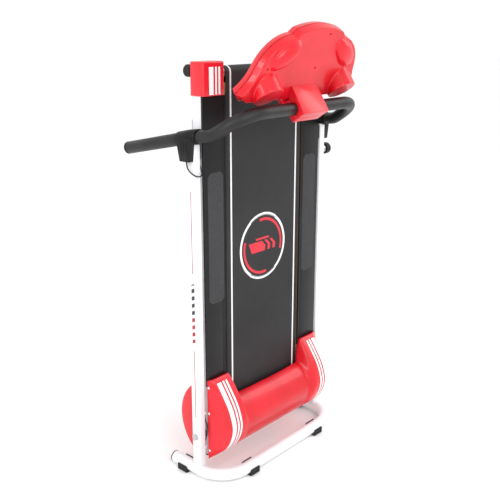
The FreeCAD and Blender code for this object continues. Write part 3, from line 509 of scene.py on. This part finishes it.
finishes = {
    "white_steel": whitePaint(),
    "red_plastic": redPlastic("redPlastic"),
    "black_plastic": blackPlastic(),
    "belt_pvc": beltSheet(),
    "grip_foam": gripFoam(),
    "black_rubber": rubber(),
    "zinc_steel": metal("zincPlate", (0.60, 0.61, 0.63, 1), 0.28, (260, 260, 260), 0.15),
    "roller_steel": metal("turnedSteel", (0.52, 0.53, 0.54, 1), 0.22, (900, 12, 12)),
    "motor_black": plain("blackEnamel", grey(0.012), grey(0.022), 0.32),
    "fibreboard": plain("waxedFibreboard", (0.21, 0.12, 0.06, 1), (0.33, 0.21, 0.12, 1), 0.5, 420, 0.2),
    "window_tint": plain("tintedWindow", (0.010, 0.012, 0.016, 1), (0.014, 0.017, 0.022, 1), 0.06, 40, 0.01,
                         Coat_Weight=0.6, Coat_Roughness=0.03),
    "circuit_green": plain("circuitBoard", (0.010, 0.10, 0.035, 1), (0.016, 0.16, 0.06, 1), 0.35, 500),
    "controller_grey": metal("extrudedAluminium", (0.66, 0.67, 0.68, 1), 0.34, (10, 10, 300)),
    "button_green": plain("greenButton", (0.02, 0.33, 0.07, 1), (0.03, 0.40, 0.09, 1), 0.3, 90),
    "button_red": plain("redButton", (0.58, 0.012, 0.018, 1), (0.68, 0.018, 0.024, 1), 0.3, 90),
    "button_grey": plain("greyButton", grey(0.42, 0.03), grey(0.52, 0.03), 0.34, 90),
    "screw_white": plain("paintedScrew", grey(0.80, 0.02), grey(0.88, 0.02), 0.3, 200),
}
print("finishes mixed")

for name, node in nodes.items():
    node.data.materials.clear()
    node.data.materials.append(finishes[slotOf[name]])


# camera, light and floor

def addCamera():
    spot = {"place": (-1.6886, -1.5021, 1.351), "around": -47.73, "above": 16.8, "lens": 54.1}
    around, above = math.radians(spot["around"]), math.radians(spot["above"])
    back = Vector((math.sin(around) * math.cos(above), -math.cos(around) * math.cos(above), math.sin(above)))
    bpy.ops.object.camera_add(location=spot["place"])
    camera = bpy.context.active_object
    camera.rotation_mode = "QUATERNION"
    camera.rotation_quaternion = (-back).to_track_quat("-Z", "Y")
    camera.data.lens = spot["lens"]
    camera.data.sensor_width = 36
    camera.data.clip_end = 100
    bpy.context.scene.camera = camera


def addLight(name, place, target, width, height, power):
    bpy.ops.object.light_add(type="AREA", location=place)
    light = bpy.context.active_object
    light.name = name
    light.data.shape = "RECTANGLE"
    light.data.size = width
    light.data.size_y = height
    light.data.energy = power
    light.rotation_mode = "QUATERNION"
    light.rotation_quaternion = (Vector(target) - Vector(place)).to_track_quat("-Z", "Y")


def addStudio():
    studio = {"floorSize": 60, "floor": (0.97, 0.97, 0.97, 1), "sky": (1, 1, 1, 1), "skyPower": 1.04}
    middle = (0, 0, 0.7)
    addLight("keyLight", (-1.6, -3.4, 2.6), middle, 1.4, 2.2, 40)
    addLight("sideLight", (-3.4, -0.4, 1.8), middle, 0.3, 2.4, 30)
    addLight("rimLight", (2.6, -1.6, 2.4), middle, 1.0, 2.0, 20)
    world = bpy.data.worlds.new("studioSky")
    bpy.context.scene.world = world
    world.use_nodes = True
    sky = world.node_tree.nodes["Background"]
    sky.inputs["Color"].default_value = studio["sky"]
    sky.inputs["Strength"].default_value = studio["skyPower"]
    bpy.ops.object.select_all(action="DESELECT")
    bpy.ops.mesh.primitive_plane_add(size=studio["floorSize"], location=(0, 0, -0.0005))
    floor = named("studioFloor")
    paint = Paint("studioFloorPaint", Roughness=0.9)
    paint.shader.inputs["Base Color"].default_value = studio["floor"]
    floor.data.materials.append(paint.material)
    scene = bpy.context.scene
    scene.view_settings.view_transform = "Standard"
    scene.view_settings.look = "None"


addCamera()
addStudio()
print("camera and studio placed")


# cables

def addCable(name, cadNode, points, diameter):
    curve = bpy.data.curves.new(name, "CURVE")
    curve.dimensions = "3D"
    curve.bevel_depth = diameter / 2
    curve.bevel_resolution = 6
    curve.use_fill_caps = True
    curve.resolution_u = 16
    spline = curve.splines.new("NURBS")
    spline.points.add(len(points) - 1)
    for point, place in zip(spline.points, points):
        point.co = (*place, 1)
    spline.order_u = 3
    spline.use_endpoint_u = True
    piece = bpy.data.objects.new(name, curve)
    bpy.context.scene.collection.objects.link(piece)
    finished(piece, finishes["black_rubber"], cadNode)


consoleRoute = [(x, y + deckFace, z) for x, y, z in (
    (-0.304, 0.020, 0.990), (-0.304, 0.020, 0.975), (-0.3025, 0.008, 0.961), (-0.2965, -0.004, 0.952),
    (-0.2865, -0.0095, 0.9485), (-0.276, -0.0095, 0.9505), (-0.2685, -0.0035, 0.958), (-0.266, 0.004, 0.969),
    (-0.267, 0.0095, 0.981), (-0.267, 0.0095, 0.993))]
harnessRoute = [(x, y + deckFace, z) for x, y, z in (
    (-0.2665, 0.008, 0.210), (-0.2665, 0.008, 0.196), (-0.2665, -0.003, 0.178), (-0.2665, -0.002, 0.156),
    (-0.2665, 0.002, 0.132), (-0.2665, 0.008, 0.114), (-0.2665, 0.008, 0.102))]
addCable("consoleCable", "console_cable", consoleRoute, 0.0038)
addCable("harnessCable", "harness_cable", harnessRoute, 0.0038)
print("cables laid")


# stand

def easedCopy(node, edge=0.0006, segments=2, angle=35):
    piece = welded(node + "_eased", node)
    ease(piece, edge, segments, angle)
    return finished(smooth(piece), finishes[slotOf[node]], node)


def steelTube(name, node, low, high, paint):
    # a box tube with rolled corners
    piece = addBlock(name, low, high)
    pickEdges(piece, lambda middle, along: abs(along.z) > 0.9)
    bpy.ops.mesh.bevel(offset=0.0042, segments=4)
    done()
    ease(piece, 0.0008, 2)
    return finished(smooth(piece), paint, node)


def addUprights():
    # printed box tubes; the left one's inner face carries two ears that hold the wiring
    size = {"wide": 0.024, "ears": (0.210, 0.094), "earTall": 0.008, "earFront": 0.0035, "earBack": 0.0125}
    printed = whitePaint(decal=True)
    for side, sign in sides:
        node = side + "_upright"
        low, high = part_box(node)
        tubeHigh = Vector(high)
        if sign < 0:
            tubeHigh.x = low.x + size["wide"]
        steelTube(side + "Upright", node, low, tubeHigh, printed)
        if sign < 0:
            for height in size["ears"]:
                ear = addBlock("cableEar", (tubeHigh.x - 0.001, deckFace + size["earFront"], height),
                               (high.x, deckFace + size["earBack"], height + size["earTall"]))
                ease(ear, 0.0015, 3)
                finished(smooth(ear), printed, body="stand", slot="white_steel")


def addFloorPads():
    # clips round the tube: a square foot below, a sunk panel outside, a lip up the inner side
    size = {"tube": 0.0185, "wall": 0.004, "long": 0.038, "front": -0.086, "frontX": 0.161, "legX": 0.282,
            "legY": 0.075, "lip": 48, "centre": 0.0225}
    reach = size["tube"] + size["wall"]
    outline = [Vector((-reach, 0, size["centre"])), Vector((-reach, 0, 0.003)),
               Vector((-reach + 0.003, 0, 0)),
               Vector((reach - 0.003, 0, 0)), Vector((reach, 0, 0.003)), Vector((reach, 0, size["centre"]))]

    def ring(radius, angle):
        angle = math.radians(angle)
        return Vector((radius * math.cos(angle), 0, size["centre"] + radius * math.sin(angle)))

    outline += [ring(reach, a) for a in (12, 24, 36, size["lip"])]
    outline += [ring(size["tube"] + 0.0001, a) for a in range(size["lip"], -181, -12)]
    clip = addProfile("clip", outline, (0, size["long"], 0))
    pickFaces(clip, lambda middle, normal: normal.x < -0.9 and middle.x < -reach + 0.001)
    bpy.ops.mesh.inset(thickness=0.0045)
    bpy.ops.mesh.extrude_region_move(TRANSFORM_OT_translate={"value": (0.0012, 0, 0)})
    done()
    ease(clip, 0.0009, 3, 40)
    clips = []
    half = size["long"] / 2
    spots = [(sign * size["frontX"] + half, size["front"], 90) for sign in (-1, 1)]
    spots += [(-size["legX"], size["legY"] - half, 0), (size["legX"], size["legY"] + half, 180)]
    for x, y, turn in spots:
        clips.append(copied(clip, math.radians(turn), (x, y + deckFace, 0)))
    bpy.data.objects.remove(clip)
    finished(smooth(joined("floorPads", clips)), finishes["black_rubber"], "floor_pads")


addUprights()
addFloorPads()
for node in ("base_tube", "base_end_plugs", "pivot_bolts", "pivot_bushes", "pivot_nuts", "handlebar_tube",
             "grip_end_caps", "collar_plates", "collar_bolts", "lock_housing"):
    easedCopy(node)
for node in ("bow_foam", "grip_foam"):
    easedCopy(node, 0.003, 4)
print("stand built")


def addCollar(side, sign):
    # the clamp's moulding with worn-soft edges and three fine grooves down its stem
    size = {"stemOuter": 0.313, "deep": 0.0010, "wide": 0.0014, "top": 1.046}
    node = side + "_collar"
    piece = welded(side + "Collar", node)
    low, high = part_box(node)
    ease(piece, 0.0020, 3, 30)
    for y in (0.0105, 0.0200, 0.0295):
        start, stop = sorted((sign * (size["stemOuter"] - size["deep"]), sign * (size["stemOuter"] + 0.02)))
        carve(piece, addBlock("grooveCut", (start, deckFace + y, low.z - 0.01),
                              (stop, deckFace + y + size["wide"], size["top"])))
    finished(smooth(piece), finishes["black_plastic"], node)


def addKnob():
    # domed hand knob with two finger grooves, hollow where it slides over its housing
    size = {"deep": 0.024, "radius": 0.0186, "dome": 0.0105, "groove": 0.0014, "grooveFloor": 0.0178,
            "hollow": 0.014, "clear": 0.0008, "pin": 0.004}
    low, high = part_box("lock_knob")
    middle = (low + high) / 2
    inner = high.x - size["deep"]

    def rodAt(name, start, stop, radius):
        return addRod(name, (start, middle.y, middle.z), (stop, middle.y, middle.z), radius, 96)

    piece = rodAt("lockKnob", inner, high.x, size["radius"])
    pickEdges(piece, lambda centre, along: centre.x > high.x - 0.0001)
    bpy.ops.mesh.bevel(offset=size["dome"], segments=8)
    done()
    for reach in (0.005, 0.010):
        ring = rodAt("grooveCut", inner + reach, inner + reach + size["groove"], size["radius"] + 0.003)
        carve(piece, carve(ring, rodAt("grooveCore", inner, high.x, size["grooveFloor"])))
    housingLow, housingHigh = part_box("lock_housing")
    housing = (housingHigh.z - housingLow.z) / 2
    carve(piece, rodAt("hollowCut", inner - 0.002, inner + size["hollow"], housing + size["clear"]))
    ease(piece, 0.0004, 2, 50)
    pin = ease(rodAt("pin", low.x, inner + size["hollow"] + 0.002, size["pin"]), 0.0010, 3)
    finished(smooth(joined("lockKnob", [piece, pin])), finishes["black_plastic"], "lock_knob")


for side, sign in sides:
    addCollar(side, sign)
addKnob()
print("collars and lock built")


# deck

def addDeckFrame():
    pinHole = {"radius": 0.006, "deep": 0.012}
    for side, sign in sides:
        node = side + "_side_member"
        low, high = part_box(node)
        piece = steelTube(side + "SideMember", node, low, high, finishes["white_steel"])
        if sign > 0:
            knobLow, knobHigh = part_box("lock_knob")
            spot = (knobLow + knobHigh) / 2
            carve(piece, addRod("pinHole", (high.x - pinHole["deep"], spot.y, spot.z),
                                (high.x + 0.01, spot.y, spot.z), pinHole["radius"]))
    for node in ("deck_cross_tubes", "board_flanges", "frame_end_plugs", "front_roller", "rear_roller",
                 "roller_axles", "roller_pulley", "motor_body", "motor_shaft", "flywheel", "drive_belt",
                 "controller_box", "power_entry", "power_switch_rocker"):
        easedCopy(node)


def addFootRails():
    # satin rails with a raised bead along the belt and fine ribs beside it
    size = {"bead": 0.0065, "beadProud": 0.0016, "rib": 0.0022, "ribGap": 0.0046, "ribs": 3,
            "ribProud": 0.0006, "inset": 0.0005}
    for side, sign in sides:
        node = side + "_foot_rail"
        low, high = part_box(node)
        piece = welded(side + "FootRail", node)
        ease(piece, 0.0016, 3)
        inner = high.x if sign < 0 else low.x
        extras = []
        start, stop = sorted((inner, inner + sign * size["bead"]))
        bead = addBlock("bead", (start, low.y - size["beadProud"], low.z + size["inset"]),
                        (stop, low.y + 0.002, high.z - size["inset"]))
        extras.append(ease(bead, 0.0017, 4))
        for i in range(size["ribs"]):
            spot = inner + sign * (size["bead"] + size["ribGap"] * (i + 0.6))
            start, stop = sorted((spot, spot + sign * size["rib"]))
            rib = addBlock("rib", (start, low.y - size["ribProud"], low.z + size["inset"]),
                           (stop, low.y + 0.001, high.z - size["inset"]))
            extras.append(ease(rib, 0.0005, 2))
        piece = joined(side + "FootRail", [piece] + extras)
        finished(smooth(piece), railPlastic, node)


def addRearCaps():
    size = {"wall": 0.003, "round": 0.0055}
    low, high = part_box("rear_caps")
    caps = []
    for side, sign in sides:
        inner, outer = sign * 0.179, sign * high.x
        start, stop = sorted((inner, outer))
        cap = addBlock("cap", (start, low.y, low.z), (stop, high.y, high.z))
        pickFaces(cap, lambda middle, normal: normal.z < -0.9 or normal.y > 0.9)
        bpy.ops.mesh.delete(type="FACE")
        done()
        ease(cap, size["round"], 5)
        modify(cap, "SOLIDIFY", thickness=size["wall"], offset=-1)
        caps.append(ease(cap, 0.0005, 2, 60))
    piece = joined("rearCaps", caps)
    finished(smooth(piece), redPlastic("redPlasticCap", (low.z + 0.003, 1.2385)), "rear_caps")


railPlastic = blackPlastic("railPlastic", 0.24, brushed=True)
addDeckFrame()
addFootRails()
addRearCaps()
finished(smooth(ease(welded("gripStrips", "grip_strips"), 0.0004)), gripTape(), "grip_strips")
finished(smooth(welded("runningBelt", "running_belt")), finishes["belt_pvc"], "running_belt")
easedCopy("rear_feet", 0.004, 4)
print("deck built")


# motor hood

def through(points, count):
    # evenly counted points on a smooth line through the given ones
    spots = []
    spans = len(points) - 1
    for i in range(count):
        t = i / (count - 1) * spans
        k = min(int(t), spans - 1)
        t -= k
        a = points[max(k - 1, 0)]
        b, c = points[k], points[k + 1]
        d = points[min(k + 2, spans)]
        spots.append(0.5 * (2 * b + (c - a) * t + (2 * a - 5 * b + 4 * c - d) * t**2
                            + (3 * b - a - 3 * c + d) * t**3))
    return spots


def addHood():
    # side profiles as distance in front of the rails and height, in metres
    block = [(0, .3190), (.006, .3215), (.014, .3170), (.042, .2790), (.068, .2380), (.083, .1950),
             (.0835, .1660), (.074, .1340), (.056, .1040), (.030, .0790), (.005, .0585), (0, .0560)]
    panel = [(0, .2290), (.006, .2365), (.014, .2395), (.032, .2310), (.053, .2080), (.068, .1760),
             (.069, .1560), (.062, .1310), (.048, .1010), (.027, .0780), (.005, .0580), (0, .0560)]
    size = {"rows": 72, "columns": 196, "wall": 0.0028, "corner": 0.2380, "edge": 0.2598, "flat": 0.80,
            "crease": 0.1570, "creaseIn": 0.014, "slope": 0.0210, "slopeGrow": 0.012, "crown": 0.005,
            "crownHalf": 0.16, "gap": 0.0003}
    blockLine = through([Vector(point) for point in block], size["rows"])
    panelLine = through([Vector(point) for point in panel], size["rows"])
    flank = [(0, 1.0), (.06, .995), (.13, .965), (.20, .90), (.93, .145), (.975, .07), (1.0, 0.0)]
    bpy.ops.object.select_all(action="DESELECT")
    bpy.ops.mesh.primitive_grid_add(x_subdivisions=size["columns"] - 1,
                                    y_subdivisions=size["rows"] - 1, size=2)
    piece = named("motorHood")
    for vertex in piece.data.vertices:
        u, v = vertex.co.x, (1 - vertex.co.y) / 2
        row = round(v * (size["rows"] - 1))
        reach = abs(u)
        if reach < size["flat"]:
            across, pull = reach / size["flat"] * size["corner"], 1.0
        else:
            t = (reach - size["flat"]) / (1 - size["flat"])
            across = size["corner"] + (size["edge"] - size["corner"]) * min(1, t * 1.03)
            for (t0, p0), (t1, p1) in zip(flank, flank[1:]):
                if t0 <= t <= t1 + 1e-9:
                    pull = p0 + (p1 - p0) * (t - t0) / (t1 - t0)
        crease = size["crease"] - size["creaseIn"] * blendOf(0.15, 0.75, v)
        slope = size["slope"] + size["slopeGrow"] * blendOf(0.2, 0.8, v)
        share = blendOf(crease, crease + slope, across)
        spot = panelLine[row].lerp(blockLine[row], share)
        bow = min(1, across / size["crownHalf"]) ** 2
        rise = size["crown"] * bow * (1 - share) * (1 - blendOf(0.0, 0.45, v))
        vertex.co = (math.copysign(across, u), deckFace - size["gap"] - spot.x * pull, spot.y + rise)
    edit(piece)
    bpy.ops.mesh.select_all(action="SELECT")
    bpy.ops.mesh.remove_doubles(threshold=0.00001)
    bpy.ops.mesh.normals_make_consistent(inside=False)
    done()
    modify(piece, "SOLIDIFY", thickness=size["wall"], offset=-1)
    finished(smooth(piece, 50), redPlastic("redPlasticHood", (0.066, 0.3105)), "motor_hood")


def addHoodScrews():
    # pan heads with a cross recess, modelled once and copied
    low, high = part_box("hood_screws")
    head = addRod("screwHead", (0, 0, 0), (0.0016, 0, 0), 0.0040, 28)
    ease(head, 0.0009, 3, 50)
    for turn in ((0.0030, 0.0006), (0.0006, 0.0030)):
        carve(head, addBlock("slotCut", (0.0009, -turn[0], -turn[1]), (0.003, turn[0], turn[1])))
    heads = []
    for side, sign in sides:
        for z in (0.087, 0.214, 0.300):
            heads.append(copied(head, 0 if sign > 0 else math.pi,
                                (sign * (high.x - 0.0014), (low.y + high.y) / 2, z)))
    bpy.data.objects.remove(head)
    finished(smooth(joined("hoodScrews", heads)), finishes["screw_white"], "hood_screws")


addHood()
addHoodScrews()
easedCopy("belly_pan", 0.0014, 3, 30)
print("hood built")


# console

consoleSize = {"lean": 25, "y": -0.150, "z": 1.200, "rim": 0.022, "middle": 0.040, "back": 0.97,
               "cupX": 0.163, "cupLean": 33, "cupY": -0.130, "cupLow": -0.046, "cupRadius": 0.043,
               "cupBore": 0.040}
lean = math.radians(consoleSize["lean"])
cupTilt = math.radians(consoleSize["cupLean"])
consolePlace = Matrix(((-1, 0, 0, 0),
                       (0, -math.sin(lean), math.cos(lean), consoleSize["y"] + deckFace),
                       (0, math.cos(lean), math.sin(lean), consoleSize["z"]),
                       (0, 0, 0, 1)))


def consoleOutline(grow, depth):
    # the console seen square on, scaled about its middle, anticlockwise
    right = [(228, -60), (256, -36), (230, -8), (214, 30), (194, 76), (108, 127), (94, 142)]
    middle = consoleSize["middle"]

    def at(x, y):
        return Vector((x / 1000 * grow, middle + (y / 1000 - middle) * grow, depth))

    p = [at(*point) for point in right]
    q = [at(-x, y) for x, y in right]
    crown = at(0, 158)
    points = [p[0]]
    points += arcPoints(p[1], p[2], p[3], 12) + arcPoints(p[3], p[4], p[5], 12) + [p[5]]
    points += arcPoints(p[6], crown, q[6], 16) + [q[6]]
    points += arcPoints(q[5], q[4], q[3], 12) + arcPoints(q[3], q[2], q[1], 12) + [q[1], q[0]]
    return points


def loft(name, lowOutline, highOutline):
    piece = addProfile(name, lowOutline, (0, 0, 0.001))
    count = len(lowOutline)
    for vertex, point in zip(piece.data.vertices[count:], highOutline):
        vertex.co = point
    return piece


def cupRod(name, sign, radius, low, high, sides=64):
    up = Vector((0, math.sin(cupTilt), math.cos(cupTilt)))
    start = Vector((sign * consoleSize["cupX"], consoleSize["cupY"] + deckFace, consoleSize["z"])) \
        + up * consoleSize["cupLow"]
    return addRod(name, start + up * low, start + up * high, radius, sides)


def intoPlace(piece):
    alone(piece)
    piece.matrix_world = consolePlace
    return settle(piece)


def addConsoleBack():
    # one moulding: the shell, its cup wells, the fairings over them and the web above the bracket
    size = {"voxel": 0.0017, "fairing": (0.128, 0.078, 0.004), "fairingSize": (0.060, 0.030, 0.024),
            "turn": 144}
    shell = loft("consoleShell", consoleOutline(consoleSize["back"], 0),
                 consoleOutline(1, consoleSize["rim"]))
    solids = [intoPlace(shell)]
    for sign in (-1, 1):
        sleeve = cupRod("cupSleeve", sign, consoleSize["cupRadius"] - 0.0004, 0.0004, 0.085)
        beyond = addBlock("beyondRim", (-0.4, -0.4, consoleSize["rim"]), (0.4, 0.4, 0.4))
        carve(sleeve, intoPlace(beyond))
        solids.append(sleeve)
        bpy.ops.object.select_all(action="DESELECT")
        bpy.ops.mesh.primitive_uv_sphere_add(segments=40, ring_count=24, radius=1)
        fairing = named("fairing")
        fairing.scale = size["fairingSize"]
        fairing.rotation_euler = (0, 0, math.radians(size["turn"] if sign > 0 else 180 - size["turn"]))
        fairing.location = (sign * size["fairing"][0], *size["fairing"][1:])
        settle(fairing)
        solids.append(intoPlace(fairing))
    web = addProfile("web", [Vector(point) for point in (
        (0.092, -0.050, 0.004), (0.066, -0.066, 0.004), (0.053, -0.082, 0.004), (-0.053, -0.082, 0.004),
        (-0.066, -0.066, 0.004), (-0.092, -0.050, 0.004), (-0.070, -0.020, 0.004), (0.070, -0.020, 0.004))],
        (0, 0, 0.022))
    solids.append(intoPlace(web))
    piece = joined("consoleBack", solids)
    edit(piece)
    bpy.ops.mesh.select_all(action="SELECT")
    bpy.ops.mesh.normals_make_consistent(inside=False)
    done()
    modify(piece, "REMESH", mode="VOXEL", voxel_size=size["voxel"], use_smooth_shade=True)
    modify(piece, "CORRECTIVE_SMOOTH", factor=0.5, iterations=6, smooth_type="LENGTH_WEIGHTED",
           use_only_smooth=True)
    for sign in (-1, 1):
        carve(piece, cupRod("well", sign, consoleSize["cupBore"], 0.003, 0.2))
    for x, y in ((-0.030, 0.135), (-0.017, 0.036), (0.185, 0.040), (-0.178, 0.040)):
        hole = addRod("screwWell", (x, y, -0.002), (x, y, 0.003), 0.0034, 24)
        carve(piece, intoPlace(hole))
    finished(smooth(piece, 60), finishes["red_plastic"], "console_back", "console_cups")


addConsoleBack()
for node in ("console_front", "console_bracket", "console_clamp", "safety_key", "display_window"):
    easedCopy(node, 0.0012, 3, 30)
for node in ("start_button", "stop_button", "speed_up_button", "speed_down_button"):
    easedCopy(node, 0.0008, 3)
print("console built")
